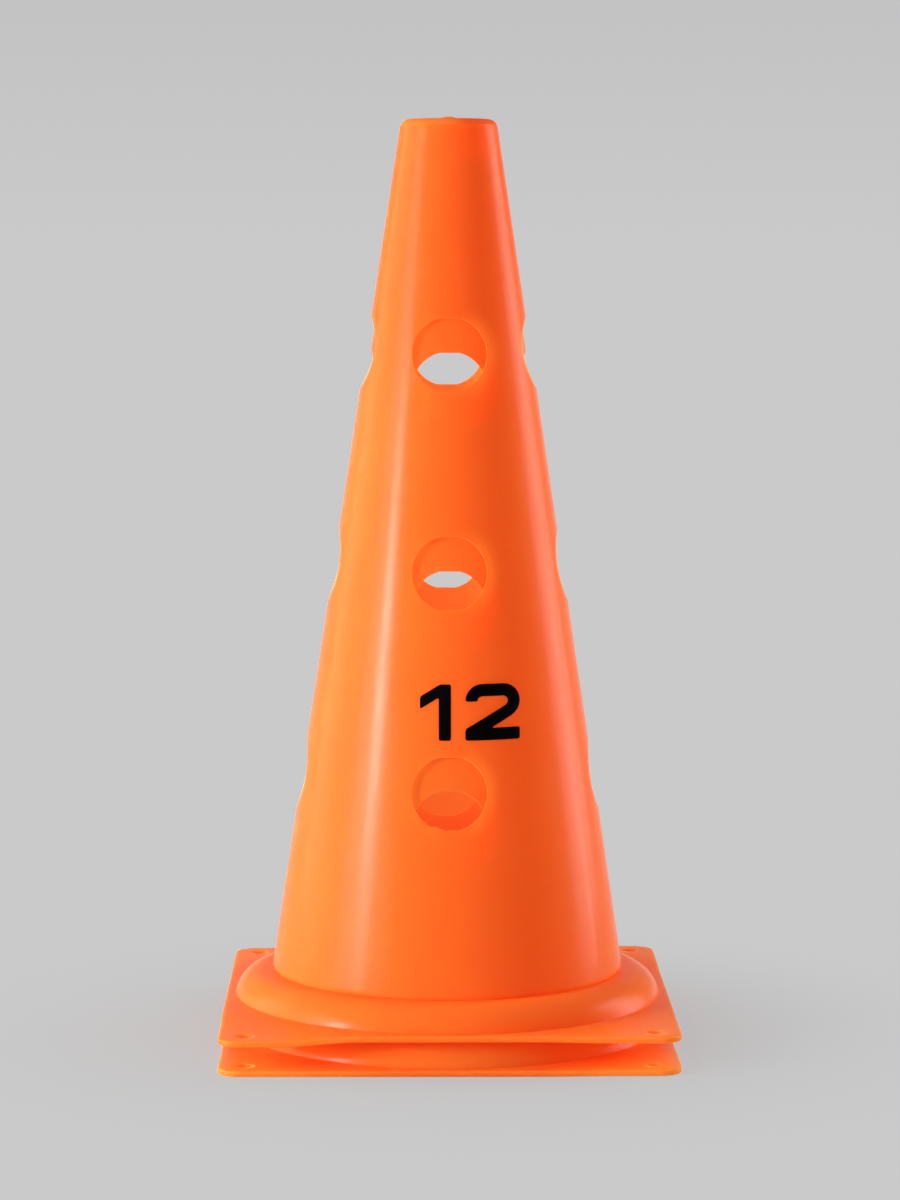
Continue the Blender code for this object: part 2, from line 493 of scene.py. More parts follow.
    def add_wall(self, panel: Panel, face: Face, low: float) -> None:
        """Add one face of the tapered wall, with its pole holes left open.

        Args:
            panel: the sheet to add to.
            face: which face of the wall.
            low: height of the face's lower edge.
        """
        form, fine, turns = self.form, self.fineness, self.turns()
        high = self.wall_end(face)
        rim = fine.outer_rim if face is Face.OUTSIDE else fine.inner_rim
        count = round((high - low) / fine.row_pitch)
        rows = [low + (high - low) * step / count for step in range(count + 1)]
        border = [(turn, rows[0]) for turn in turns]
        border += [(turns[-1], up) for up in rows[1:]]
        border += [(turn, rows[-1]) for turn in reversed(turns[:-1])]
        border += [(turns[0], up) for up in reversed(rows[1:-1])]
        outlines = [border]
        for centre in form.hole_heights():
            for offset in (rim, *fine.hole_rings):
                ring = self.hole_ring(centre, offset)
                outlines.append([(math.asin(x / form.radius(face, up)), up) for x, up in ring])
        room = fine.hole_rings[-1] + fine.clearance
        loose = [(turn, up) for up in rows[1:-1] for turn in turns[1:-1]
                 if form.hole_distance(form.radius(face, up) * math.sin(turn), up) > room]

        def on_face(turn: float, up: float) -> Vector:
            """Return the point of the face at an angle and a height."""
            return self.turned(form.radius(face, up), turn, up)

        def off_holes(middle: Vector) -> bool:
            """Tell whether a triangle lies outside the pole holes."""
            return form.hole_distance(middle.x, middle.z) > rim

        panel.add_patch(outlines, loose, on_face, off_holes, form.radius(face, (low + high) / 2))

    def add_tunnel(self, panel: Panel, centre: float) -> None:
        """Add the edge of a pole hole, from one face of the wall to the other.

        Args:
            panel: the sheet to add to.
            centre: height of the hole's centre.
        """
        fine = self.fineness
        deeper = Vector((0, 1, 0))
        runs = []
        outlines = [self.hole_ring(centre, offset)
                    for offset in (fine.outer_rim, 0.0, fine.inner_rim)]
        for outer, edge, inner in zip(*outlines):
            start = self.on_wall(Face.OUTSIDE, *outer)
            mouth = self.on_wall(Face.OUTSIDE, *edge)
            throat = self.on_wall(Face.INSIDE, *edge)
            end = self.on_wall(Face.INSIDE, *inner)
            down = mouth + deeper * fine.outer_rim
            back = throat - deeper * fine.inner_rim
            run = [start] + rounded_edge(start, mouth, down, fine.rim)
            run += [(down + back) / 2, back] + rounded_edge(back, throat, end, fine.rim)
            runs.append(run)
        panel.add_rows(list(zip(*runs)), closed=True)

    def plate_outline(self, inset: float) -> list[Pair]:
        """Draw the plate's edge from the front's middle to the right's middle.

        Args:
            inset: distance inside the edge.

        Returns:
            (x, y) points.
        """
        form, count = self.form, self.fineness.plate_side
        straight = form.half_side - form.plate_corner
        side = form.half_side - inset
        steps = [straight * step / count for step in range(count)]
        bend = arc((straight, -straight), form.plate_corner - inset, -math.pi / 2, 0.0,
                   self.fineness.plate_corner)
        return [(x, -side) for x in steps] + bend + [(side, -y) for y in reversed(steps)]

    def peg_ring(self, offset: float) -> list[Pair]:
        """Return the front right peg hole's outline, an offset outside its edge."""
        form, middle = self.form, self.form.half_side - self.form.peg_hole_inset
        return arc((middle, -middle), form.peg_hole_radius + offset, 0.0, 2 * math.pi,
                   self.fineness.peg)[:-1]

    def add_plate_face(self, panel: Panel, up: float, inner: float) -> None:
        """Add a level face of the plate's corner, from a circle to the rim.

        Args:
            panel: the sheet to add to.
            up: height of the face.
            inner: radius of the circle.
        """
        form, fine = self.form, self.fineness
        circle = arc((0.0, 0.0), inner, 0.0, -math.pi / 2, fine.quarter)
        outlines = [self.plate_outline(form.plate_rim) + circle]
        outlines += [self.peg_ring(offset) for offset in (fine.inner_rim, *fine.peg_rings)]
        peg = Vector((1.0, -1.0)) * (form.half_side - form.peg_hole_inset)
        room = form.peg_hole_radius + fine.peg_rings[-1] + fine.clearance
        margin = fine.row_pitch / 2
        reach = form.half_side - form.plate_rim - margin
        count = math.floor(reach / fine.row_pitch)
        loose = []
        for step_x in range(count):
            for step_y in range(count):
                point = Vector((reach - fine.row_pitch * step_x, fine.row_pitch * step_y - reach))
                apart = point.length > inner + margin and (point - peg).length > room
                if apart and self.inside_corner(point):
                    loose.append(tuple(point))
        least = inner * math.cos(math.pi / (4 * fine.quarter))

        def at_height(x: float, y: float) -> Vector:
            """Return the point of the face at x and y."""
            return Vector((x, y, up))

        def on_plate(middle: Vector) -> bool:
            """Tell whether a triangle lies on the plate and off its peg hole."""
            off_peg = (middle.xy - peg).length > form.peg_hole_radius + fine.inner_rim
            return off_peg and middle.xy.length > least

        panel.add_patch(outlines, loose, at_height, on_plate)

    def inside_corner(self, point: Vector) -> bool:
        """Tell whether a point is well inside the plate's rounded corner.

        Args:
            point: its x and y.

        Returns:
            Whether it is.
        """
        form = self.form
        straight = form.half_side - form.plate_corner
        beyond = Vector((max(point.x - straight, 0.0), max(-point.y - straight, 0.0)))
        return beyond.length < form.plate_corner - self.fineness.row_pitch / 2

    def add_plate_side(self, panel: Panel, outline: Outline, rim: float,
                       closed: bool = False) -> None:
        """Add the plate's side, or that of a hole in it, with its rounded rims.

        Args:
            panel: the sheet to add to.
            outline: draws the side at a distance into the plate's material.
            rim: radius of the rims.
            closed: whether the outline runs back to its first point.
        """
        steps, top = self.fineness.rim, self.form.plate_thickness
        profile = arc((rim, top - rim), rim, math.pi / 2, math.pi, steps)
        profile += arc((rim, rim), rim, math.pi, 3 * math.pi / 2, steps)
        rows = [[Vector((x, y, up)) for x, y in outline(offset)] for offset, up in profile]
        panel.add_rows(rows, closed)


class NodeTree:
    """A thin hand for building a node tree, of geometry or of shaders."""

    column_width = 180
    plain_results = ("LENGTH", "DOT_PRODUCT")

    def __init__(self, tree: bpy.types.NodeTree) -> None:
        """Take the tree to build in."""
        self.tree = tree
        self.column = 0

    def add(self, kind: str, settings: Mapping[str, object] | None = None,
            **values: object) -> Node:
        """Add a node, set it up and fill or link its inputs.

        Args:
            kind: the node's type name.
            settings: properties of the node, such as its operation.
            **values: inputs by name, with _ for a space, or by number as in i0.

        Returns:
            The new node.
        """
        node = self.tree.nodes.new(kind)
        node.location = (self.column * self.column_width, 0)
        self.column += 1
        for name, value in (settings or {}).items():
            setattr(node, name, value)
        self.fill(node, values)
        return node

    def fill(self, node: Node, values: Mapping[str, object]) -> None:
        """Link the inputs that are given a socket, and set the others.

        Args:
            node: the node to fill.
            values: its inputs, named as for add.
        """
        for name, value in values.items():
            numbered = name[0] == "i" and name[1:].isdigit()
            socket = node.inputs[int(name[1:]) if numbered else name.replace("_", " ")]
            if isinstance(value, NodeSocket):
                self.tree.links.new(value, socket)
            else:
                socket.default_value = value

    @staticmethod
    def numbered(values: Sequence[object]) -> dict[str, object]:
        """Return values under the names that add takes for inputs by number."""
        return {f"i{number}": value for number, value in enumerate(values)}

    def math(self, operation: str, *values: object, clamp: bool = False) -> NodeSocket:
        """Return what a Math node makes of the values."""
        settings = {"operation": operation, "use_clamp": clamp}
        return self.add("ShaderNodeMath", settings, **self.numbered(values)).outputs[0]

    def product(self, *values: object, clamp: bool = False) -> NodeSocket:
        """Return the product of values, held between zero and one where it is to clamp."""
        return reduce(lambda one, other: self.math("MULTIPLY", one, other, clamp=clamp), values)

    def vector(self, operation: str, *values: object, **named: object) -> NodeSocket:
        """Return what a Vector Math node makes of the values."""
        node = self.add("ShaderNodeVectorMath", {"operation": operation},
                        **self.numbered(values), **named)
        return node.outputs["Value" if operation in self.plain_results else "Vector"]

    def split(self, vector: object) -> NodeOutputs:
        """Return a vector's parts as X, Y and Z."""
        return self.add("ShaderNodeSeparateXYZ", Vector=vector).outputs

    def join(self, **parts: object) -> NodeSocket:
        """Return a vector made of X, Y and Z, zero where one isn't given."""
        return self.add("ShaderNodeCombineXYZ", **parts).outputs[0]

    def ramp(self, value: object, low: object, high: object, start: float = 0.0,
             end: float = 1.0, smooth: bool = True) -> NodeSocket:
        """Map a value from one span to another, held at both ends.

        Args:
            value: what is mapped.
            low: where it starts to count.
            high: where it counts in full, which may lie below low.
            start: the result at low.
            end: the result at high.
            smooth: whether the result eases in and out.

        Returns:
            The result.
        """
        settings = {"interpolation_type": "SMOOTHSTEP" if smooth else "LINEAR"}
        return self.add("ShaderNodeMapRange", settings, Value=value, From_Min=low,
                        From_Max=high, To_Min=start, To_Max=end).outputs["Result"]

    def noise(self, place: object, scale: object, detail: float, **more: object) -> NodeSocket:
        """Return noise between zero and one at a place."""
        return self.add("ShaderNodeTexNoise", Vector=place, Scale=scale, Detail=detail,
                        **more).outputs[0]

    def mapped(self, place: object, **values: object) -> NodeSocket:
        """Return a place turned or stretched by a Mapping node."""
        return self.add("ShaderNodeMapping", Vector=place, **values).outputs[0]

    def blend(self, share: object, low: object, high: object, mode: str = "MIX") -> NodeSocket:
        """Return a mix of two colours, or by another mode the second on the first."""
        return self.add("ShaderNodeMix", {"data_type": "RGBA", "blend_type": mode},
                        i0=share, i6=low, i7=high).outputs[2]

    def choose(self, share: object, first: NodeSocket, second: NodeSocket) -> NodeSocket:
        """Return a mix of two shaders."""
        return self.add("ShaderNodeMixShader", i0=share, i1=first, i2=second).outputs[0]

    def group(self, tree: bpy.types.NodeTree, **values: object) -> NodeOutputs:
        """Add a shader node group and return what it puts out."""
        return self.add("ShaderNodeGroup", {"node_tree": tree}, **values).outputs

    def declare(self, name: str, kind: str, value: object = None, out: bool = False) -> None:
        """Give the tree a named input or output.

        Args:
            name: the socket's name.
            kind: its type name.
            value: its usual value, where it has one.
            out: whether it is an output.
        """
        side = "OUTPUT" if out else "INPUT"
        socket = self.tree.interface.new_socket(name, in_out=side, socket_type=kind)
        if value is not None:
            socket.default_value = value


@dataclass(frozen=True)
class Imperfection:
    """How a shell departs from its true form, as soft plastic does."""

    seed: int
    corner_drops: Mapping[Corner, float]
    burr_height: float = 0.0
    wave_height: float = 0.1 * MM
    wave_scale: float = 14.0
    drop_start: float = 94.0 * MM
    drop_end: float = 118.0 * MM
    burr_across: float = -5.0 * MM
    burr_reach: float = 3.7 * MM


class ShellTree:
    """The Geometry Nodes tree that repeats a quarter and softens its form."""

    wave_fade = 40 * MM
    wave_detail = 1.0
    noise_middle = 0.5
    lengths = ("Wave Height", "Wave Scale", "Wall Foot", "Wall Top", "Drop Start", "Drop End",
               "Burr Height", "Burr Reach", "Rest Height")

    def __init__(self) -> None:
        """Build the tree."""
        self.group = bpy.data.node_groups.new("repeat_quarters", "GeometryNodeTree")
        self.group.is_modifier = True
        self.tree = tree = NodeTree(self.group)
        tree.declare("Geometry", "NodeSocketGeometry")
        tree.declare("Geometry", "NodeSocketGeometry", out=True)
        tree.declare("Sides", "NodeSocketInt", len(Corner))
        tree.declare("Weld Distance", "NodeSocketFloat", WELD_DISTANCE)
        tree.declare("Wave Seed", "NodeSocketInt", 1)
        for name in (*self.lengths, *(corner.drop_input for corner in Corner)):
            tree.declare(name, "NodeSocketFloat", 0.0)
        tree.declare("Burr Place", "NodeSocketVector", (0.0, 0.0, 0.0))
        tree.declare("Material", "NodeSocketMaterial")
        self.given = tree.add("NodeGroupInput").outputs
        shape = self.waved(self.repeated())
        for corner in Corner:
            shape = self.dropped(shape, corner)
        raised = tree.add("GeometryNodeTransform", Geometry=self.burred(shape),
                          Translation=tree.join(Z=self.given["Rest Height"])).outputs[0]
        smooth = tree.add("GeometryNodeSetShadeSmooth", Geometry=raised).outputs[0]
        made = tree.add("GeometryNodeSetMaterial", Geometry=smooth,
                        Material=self.given["Material"]).outputs[0]
        tree.add("NodeGroupOutput", Geometry=made)

    def repeated(self) -> NodeSocket:
        """Turn the quarter about the axis and weld the copies.

        Returns:
            One shell.
        """
        tree, given = self.tree, self.given
        points = tree.add("GeometryNodeMeshLine", Count=given["Sides"],
                          Offset=(0.0, 0.0, 0.0)).outputs[0]
        step = tree.math("DIVIDE", 2 * math.pi, given["Sides"])
        turn = tree.product(tree.add("GeometryNodeInputIndex").outputs[0], step)
        copies = tree.add("GeometryNodeInstanceOnPoints", Points=points,
                          Instance=given["Geometry"], Rotation=tree.join(Z=turn)).outputs[0]
        real = tree.add("GeometryNodeRealizeInstances", Geometry=copies).outputs[0]
        return tree.add("GeometryNodeMergeByDistance", Geometry=real,
                        Distance=given["Weld Distance"]).outputs[0]

    def places(self) -> NodeSocket:
        """Return the places of the shape's points."""
        return self.tree.add("GeometryNodeInputPosition").outputs[0]

    def moved(self, shape: NodeSocket, offset: NodeSocket) -> NodeSocket:
        """Return a shape with each of its points moved by an offset."""
        return self.tree.add("GeometryNodeSetPosition", Geometry=shape, Offset=offset).outputs[0]

    def waved(self, shape: NodeSocket) -> NodeSocket:
        """Give the wall shallow waves that fade out at its foot and its crown.

        Args:
            shape: the shell.

        Returns:
            The shell with its waves.
        """
        tree, given, place = self.tree, self.given, self.places()
        parts = tree.split(place)
        noise = tree.add("ShaderNodeTexNoise", {"noise_dimensions": "4D"}, Vector=place,
                         W=given["Wave Seed"], Scale=given["Wave Scale"],
                         Detail=self.wave_detail).outputs[0]
        swing = tree.math("SUBTRACT", noise, self.noise_middle)
        above = tree.math("SUBTRACT", parts["Z"], given["Wall Foot"])
        below = tree.math("SUBTRACT", given["Wall Top"], parts["Z"])
        fade = tree.ramp(tree.math("MINIMUM", above, below), 0.0, self.wave_fade)
        size = tree.product(swing, fade, given["Wave Height"])
        outward = tree.vector("NORMALIZE", tree.join(X=parts["X"], Y=parts["Y"]))
        return self.moved(shape, tree.vector("SCALE", outward, Scale=size))

    def dropped(self, shape: NodeSocket, corner: Corner) -> NodeSocket:
        """Let one corner of the plate hang, or stand, a little.

        Args:
            shape: the shell.
            corner: which corner.

        Returns:
            The shell with that corner bent.
        """
        tree, given = self.tree, self.given
        way = Vector((*corner.value, 0.0)).normalized()
        out = tree.vector("DOT_PRODUCT", self.places(), way)
        share = tree.ramp(out, given["Drop Start"], given["Drop End"])
        return self.moved(shape, tree.join(Z=tree.product(share, given[corner.drop_input], -1.0)))

    def burred(self, shape: NodeSocket) -> NodeSocket:
        """Leave a small burr where the mould's parts met at a hole's lower edge.

        Args:
            shape: the shell.

        Returns:
            The shell with its burr.
        """
        tree, given = self.tree, self.given
        parts, spot = tree.split(self.places()), tree.split(given["Burr Place"])
        share = tree.math("LESS_THAN", parts["Y"], 0.0)
        for axis in "XZ":
            away = tree.math("ABSOLUTE", tree.math("SUBTRACT", parts[axis], spot[axis]))
            share = tree.product(share, tree.ramp(away, 0.0, given["Burr Reach"], 1.0, 0.0))
        return self.moved(shape, tree.join(Z=tree.product(share, given["Burr Height"])))

    def make(self, name: str, quarter: Mesh, values: Mapping[str, object]) -> Object:
        """Run the tree on a quarter.

        Args:
            name: the new piece's name.
            quarter: the sheet to repeat.
            values: the tree's inputs by name.

        Returns:
            A plain shell: an object at the origin with one closed mesh.
        """
        carrier = new_object(f"{name}_quarter", quarter)
        step = carrier.modifiers.new("repeat", "NODES")
        step.node_group = self.group
        for item in self.group.interface.items_tree:
            if item.in_out == "INPUT" and item.name in values:
                step[item.identifier] = values[item.name]
        graph = bpy.context.evaluated_depsgraph_get()
        mesh = bpy.data.meshes.new_from_object(carrier.evaluated_get(graph))
        bpy.data.objects.remove(carrier)
        form = bmesh.new()
        form.from_mesh(mesh)
        bmesh.ops.recalc_face_normals(form, faces=form.faces)
        form.to_mesh(mesh)
        form.free()
        mesh.name = name
        return new_object(name, mesh)


@dataclass
class SurfaceEffects:
    """Shader node groups that several finishes share.

    A field whose name ends in band holds two values: from the first to the second a
    mask turns on, or off.
    """

    cloud_stretch: float = 0.45
    streak_stretch: float = 0.02
    fine_detail: float = 2.0
    scuff_turns: Pair = (0.5, -0.9)
    scuff_stretches: Pair = (0.06, 0.09)
    scuff_tilt: float = 0.3
    scuff_thinness: float = 9.0
    scuff_detail: float = 1.0
    scuff_band: Pair = (0.66, 0.74)
    scuff_edge: float = 0.12
    inner_band: Pair = (0.5, 0.8)
    hollow_band: Pair = (60 * MM, 110 * MM)
    hollow_foot: float = 0.7
    wall_band: Pair = (30 * MM, 50 * MM)
    upper_band: Pair = (150 * MM, 70 * MM)
    crown_band: Pair = (4 * MM, 1.5 * MM)
    cut_band: Pair = (0.97, 0.85)
    lit_band: Pair = (0.0, 8 * MM)
    corner_band: Pair = (95 * MM, 125 * MM)
    halo_band: Pair = (0.0, 7.5 * MM)
    line_band: Pair = (0.6 * MM, 1.4 * MM)
    right_band: Pair = (4 * MM, 14 * MM)
    left_band: Pair = (-11 * MM, -6 * MM)
    crescent_band: Pair = (-2.8 * MM, -1.3 * MM)
    covered_band: Pair = (0.0, 7 * MM)

    def __post_init__(self) -> None:
        """Build the groups."""
        self.mottle = self.make_mottle()
        self.scuffs = self.make_scuffs()
        self.places = self.make_places()
        self.hole_painted_light_masks = self.make_hole_painted_light_masks()

    @staticmethod
    def start(name: str, inputs: Mapping[str, float]) -> tuple[NodeTree, NodeOutputs]:
        """Open a group.

        Args:
            name: the group's name.
            inputs: the numbers that it takes, with their usual values.

        Returns:
            The tree, and what its input node gives.
        """
        tree = NodeTree(bpy.data.node_groups.new(name, "ShaderNodeTree"))
        for label, value in inputs.items():
            tree.declare(label, "NodeSocketFloat", value)
        return tree, tree.add("NodeGroupInput").outputs

    @staticmethod
    def finish(tree: NodeTree, **masks: NodeSocket) -> bpy.types.NodeTree:
        """Close a group.

        Args:
            tree: the group's tree.
            **masks: what it puts out, by name, with _ for a space.

        Returns:
            The group.
        """
        for label in masks:
            tree.declare(label.replace("_", " "), "NodeSocketFloat", out=True)
        tree.add("NodeGroupOutput", **masks)
        return tree.tree

    def make_mottle(self) -> bpy.types.NodeTree:
        """Make slow clouds, upright flow streaks and fine speckle, all about one half.

        Returns:
            The group.
        """
        tree, given = self.start(
            "moulding_mottle", {"Cloud Scale": 30.0, "Streak Scale": 300.0, "Speckle Scale": 900.0,
                                "Cloud Detail": 3.0, "Cloud Distortion": 0.6})
        place = tree.add("ShaderNodeTexCoord").outputs["Object"]
        stretched, drawn = [tree.mapped(place, Scale=(1.0, 1.0, stretch))
                            for stretch in (self.cloud_stretch, self.streak_stretch)]
        return self.finish(
            tree, Clouds=tree.noise(stretched, given["Cloud Scale"], given["Cloud Detail"],
                                    Distortion=given["Cloud Distortion"]),
            Streaks=tree.noise(drawn, given["Streak Scale"], self.fine_detail),
            Speckle=tree.noise(place, given["Speckle Scale"], self.fine_detail))

    def make_scuffs(self) -> bpy.types.NodeTree:
        """Make a mask of thin handling marks in rubbed patches.

        Returns:
            The group.
        """
        tree, given = self.start("handling_scuffs", {"Scale": 40.0, "Spread": 0.5})
        place = tree.add("ShaderNodeTexCoord").outputs["Object"]
        thin = tree.product(given["Scale"], self.scuff_thinness)
        lines = []
        for turn, stretch in zip(self.scuff_turns, self.scuff_stretches):
            turned = tree.mapped(place, Rotation=(turn, self.scuff_tilt, turn),
                                 Scale=(1.0, 1.0, stretch))
            line = tree.noise(turned, thin, self.scuff_detail)
            lines.append(tree.ramp(line, *self.scuff_band))
        where = tree.noise(place, given["Scale"], self.fine_detail)
        full = tree.math("ADD", given["Spread"], self.scuff_edge)
        patch = tree.ramp(where, given["Spread"], full)
        return self.finish(tree, Mask=tree.product(tree.math("MAXIMUM", *lines), patch))

    def make_places(self) -> bpy.types.NodeTree:
        """Make masks of a shell's hollow, wall, cut edges, plate corners and crown, which place
        painted light, painted shade and, on the cut edges, roughness.

        Returns:
            The group.
        """
        tree, given = self.start("shell_places", {"Crown": 0.4})
        coordinates = tree.add("ShaderNodeTexCoord").outputs
        parts = tree.split(coordinates["Object"])
        level = tree.join(X=parts["X"], Y=parts["Y"])
        facing = tree.vector("DOT_PRODUCT", tree.vector("NORMALIZE", level), coordinates["Normal"])
        inner = tree.ramp(tree.product(facing, -1.0), *self.inner_band)
        outer = tree.math("SUBTRACT", 1.0, inner)
        wall = tree.ramp(parts["Z"], *self.wall_band)
        below = tree.math("SUBTRACT", given["Crown"], parts["Z"])
        cut = tree.product(wall, tree.ramp(tree.math("ABSOLUTE", facing), *self.cut_band))
        depth = tree.ramp(parts["Z"], *self.hollow_band, self.hollow_foot, 1.0)
        return self.finish(
            tree, Hollow=tree.product(inner, depth), Wall=tree.product(wall, outer),
            Upper_Wall=tree.product(wall, outer, tree.ramp(below, *self.upper_band)),
            Cut=cut, Edge=tree.product(cut, tree.ramp(parts["X"], *self.lit_band)),
            Corner=tree.ramp(tree.vector("LENGTH", level), *self.corner_band),
            Crown=tree.product(tree.ramp(below, *self.crown_band), outer))

    def make_hole_painted_light_masks(self) -> bpy.types.NodeTree:
        """Make masks beside each front and back hole, for painted light right of it, painted shade
        in a line just outside its right edge and painted light in the shadow crescent inside its
        left edge.

        Returns:
            The group.
        """
        tree, given = self.start(
            "hole_painted_light_masks", {"First Hole": 100 * MM, "Hole Step": 90 * MM, "Hole Radius": 15 * MM,
                          "Last Level": 2.0})
        parts = tree.split(tree.add("ShaderNodeTexCoord").outputs["Object"])
        steps = tree.math("DIVIDE", tree.math("SUBTRACT", parts["Z"], given["First Hole"]),
                          given["Hole Step"])
        level = tree.math("MINIMUM", tree.math("ROUND", tree.math("MAXIMUM", steps, 0.0)),
                          given["Last Level"])
        rise = tree.product(tree.math("SUBTRACT", steps, level), given["Hole Step"])
        away = tree.vector("LENGTH", tree.join(X=parts["X"], Y=rise))
        outside = tree.math("SUBTRACT", away, given["Hole Radius"])
        near, line, covered = [tree.ramp(outside, *band, 1.0, 0.0)
                               for band in (self.halo_band, self.line_band, self.covered_band)]
        right = tree.ramp(parts["X"], *self.right_band)
        left = tree.ramp(parts["X"], *self.left_band, 1.0, 0.0)
        crescent = tree.product(tree.ramp(outside, *self.crescent_band), covered, left)
        return self.finish(tree, Halo=tree.product(near, right), Line=tree.product(line, right),
                           Crescent=crescent)

    def add_to(self, tree: NodeTree, finish: "PlasticFinish | InkFinish"
               ) -> tuple[NodeOutputs, NodeSocket, NodeSocket]:
        """Add what every finish has to a material.

        Args:
            tree: the material's tree.
            finish: gives the sizes of the mottle, the scuffs and the grain.

        Returns:
            The mottle's masks, the scuffs' mask and the grained normal.
        """
        mottle = tree.group(self.mottle, Cloud_Scale=finish.cloud_scale,
                            Streak_Scale=finish.streak_scale, Speckle_Scale=finish.speckle_scale)
        scuffs = tree.group(self.scuffs, Scale=finish.scuff_scale, Spread=finish.scuff_spread)[0]
        grain = tree.add("ShaderNodeBump", Strength=finish.grain_strength,
                         Distance=finish.grain_height, Height=mottle["Speckle"]).outputs[0]
        return mottle, scuffs, grain


@dataclass(frozen=True)
class ShellMarks:
    """Heights above the floor, and sizes, that a shell's finish needs."""

    holes: Sequence[float]
    hole_radius: float
    crown: float
    cover: float


def new_material(name: str, colour: Colour) -> tuple[Material, NodeTree]:
    """Make a material with nodes.

    Args:
        name: the material's name.
        colour: the plain colour that stands for it.

    Returns:
        The material, and its tree with a Principled shader.
    """
    material = bpy.data.materials.new(name)
    material.use_nodes = True
    material.diffuse_color = colour
    return material, NodeTree(material.node_tree)


@dataclass(frozen=True)
class PlasticFinish:
    """Soft translucent moulded plastic, with painted light in its emission and painted shade in
    its colour.
    """

    # Painted light: each glow colour is laid by a mask and stands in for fluorescence and for
    # light carried through the plastic. They go in the hollow, on the wall, the crown and the
    # plate corners, right of the holes and in the shadow crescents left of them. Painted shade:
    # the tones darken the lower cone's covered wall, the top of the wall, the holes' lit cut edges
    # and a line beside them.
    painted_hollow_light: Colour
    painted_wall_light: Colour = (1.3, 0.02, 0.0, 1.0)
    wall_tone_for_painted_light: Colour = (1.0, 1.0, 1.0, 1.0)
    painted_edge_shade: Colour = (1.0, 0.35, 0.35, 1.0)
    painted_line_shade: Colour = (1.0, 0.6, 0.6, 1.0)
    painted_upper_shade: Colour = (1.0, 0.9, 0.95, 1.0)
    painted_crown_light: Colour = (1.3, 0.34, 0.04, 1.0)
    painted_crescent_light: Colour = (1.3, 0.68, 0.08, 1.0)
    painted_rim_light: Colour = (1.5, 0.31, 0.04, 1.0)
    painted_corner_light: Colour = (1.3, 0.28, 0.023, 1.0)
    # Painted light: a faint red glow on the whole shell that stands in for fluorescence and for
    # red light carried through the plastic into shade.
    painted_base_glow: Colour = (0.85, 0.055, 0.003, 1.0)
    painted_glow_strength: float = 0.145
    colour: Colour = (1.0, 0.162, 0.0205, 1.0)
    deep_colour: Colour = (1.0, 0.156, 0.0192, 1.0)
    scuff_colour: Colour = (1.0, 0.19, 0.03, 1.0)
    cloud_scale: float = 26.0
    cloud_band: Pair = (0.35, 0.65)
    streak_scale: float = 260.0
    streak_band: Pair = (0.3, 0.7)
    speckle_scale: float = 1400.0
    scuff_scale: float = 38.0
    scuff_spread: float = 0.56
    scuff_share: float = 0.12
    roughness: float = 0.2
    smoother: float = 0.03
    rougher: float = 0.04
    scuff_roughness: float = 0.05
    cut_roughness: float = 0.4
    grain_strength: float = 0.12
    grain_height: float = 0.05 * MM
    refraction: float = 1.5
    shine: float = 0.07
    glow_radius: Triple = (1.0, 0.9, 0.7)
    glow_depth: float = 10.0 * MM

    def material(self, name: str, effects: SurfaceEffects, marks: ShellMarks) -> Material:
        """Make the plastic as a material.

        Args:
            name: the material's name.
            effects: the shared node groups.
            marks: where the shell's holes and crown are.

        Returns:
            The material.
        """
        material, tree = new_material(name, self.colour)
        mottle, scuffs, grain = effects.add_to(tree, self)
        places = tree.group(effects.places, Crown=marks.crown)
        # Masks beside this cone's holes, and beside the holes of the cone that stands on it, where
        # painted light and painted shade go.
        beside, covering = [
            tree.group(effects.hole_painted_light_masks, First_Hole=marks.holes[0] + rise,
                       Hole_Step=marks.holes[1] - marks.holes[0], Hole_Radius=marks.hole_radius,
                       Last_Level=len(marks.holes) - 1.0) for rise in (0.0, marks.cover)]
        flat = tree.math("SUBTRACT", places["Wall"], places["Edge"])
        covered = flat if marks.cover else 0.0
        line, rim, crescent = [
            tree.product(mask, part, clamp=True) for mask, part in (
                (beside["Line"], flat), (beside["Halo"], flat), (covering["Crescent"], covered))]
        tone = tree.blend(tree.ramp(mottle["Clouds"], *self.cloud_band), self.deep_colour,
                          self.colour)
        tone = tree.blend(tree.product(scuffs, self.scuff_share), tone, self.scuff_colour)
        # Painted shade: the colour is darkened on the lower cone's covered wall, on the holes' lit
        # cut edges, on a line right of each hole and towards the top of the wall. On the covered
        # wall this goes with a painted glow that stands in for light through the upper cone.
        for mask, shade in ((places["Wall"], self.wall_tone_for_painted_light), (places["Edge"], self.painted_edge_shade),
                            (places["Upper Wall"], self.painted_upper_shade), (line, self.painted_line_shade)):
            tone = tree.blend(mask, tone, shade, "MULTIPLY")
        rough = tree.ramp(mottle["Streaks"], *self.streak_band, self.roughness - self.smoother,
                          self.roughness + self.rougher)
        for mask, more in ((scuffs, self.scuff_roughness), (places["Cut"], self.cut_roughness)):
            rough = tree.math("ADD", rough, tree.product(mask, more))
        # Painted light: a faint red glow everywhere stands in for fluorescence and red light
        # carried through the plastic. It is raised on the plate corners, the wall, right of the
        # holes, in the shadow crescents left of them, on the crown and in the hollow.
        painted_emission = self.painted_base_glow
        for mask, light in ((places["Corner"], self.painted_corner_light),
                            (places["Wall"], self.painted_wall_light), (rim, self.painted_rim_light),
                            (crescent, self.painted_crescent_light), (places["Crown"], self.painted_crown_light),
                            (places["Hollow"], self.painted_hollow_light)):
            painted_emission = tree.blend(mask, painted_emission, light)
        tree.fill(material.node_tree.nodes["Principled BSDF"], {
            "Base Color": tone, "Roughness": rough, "Normal": grain, "Emission Color": painted_emission,
            "Emission Strength": self.painted_glow_strength, "Subsurface Weight": 1.0,
            "Subsurface Radius": self.glow_radius, "Subsurface Scale": self.glow_depth,
            "IOR": self.refraction, "Specular IOR Level": self.shine})
        return material


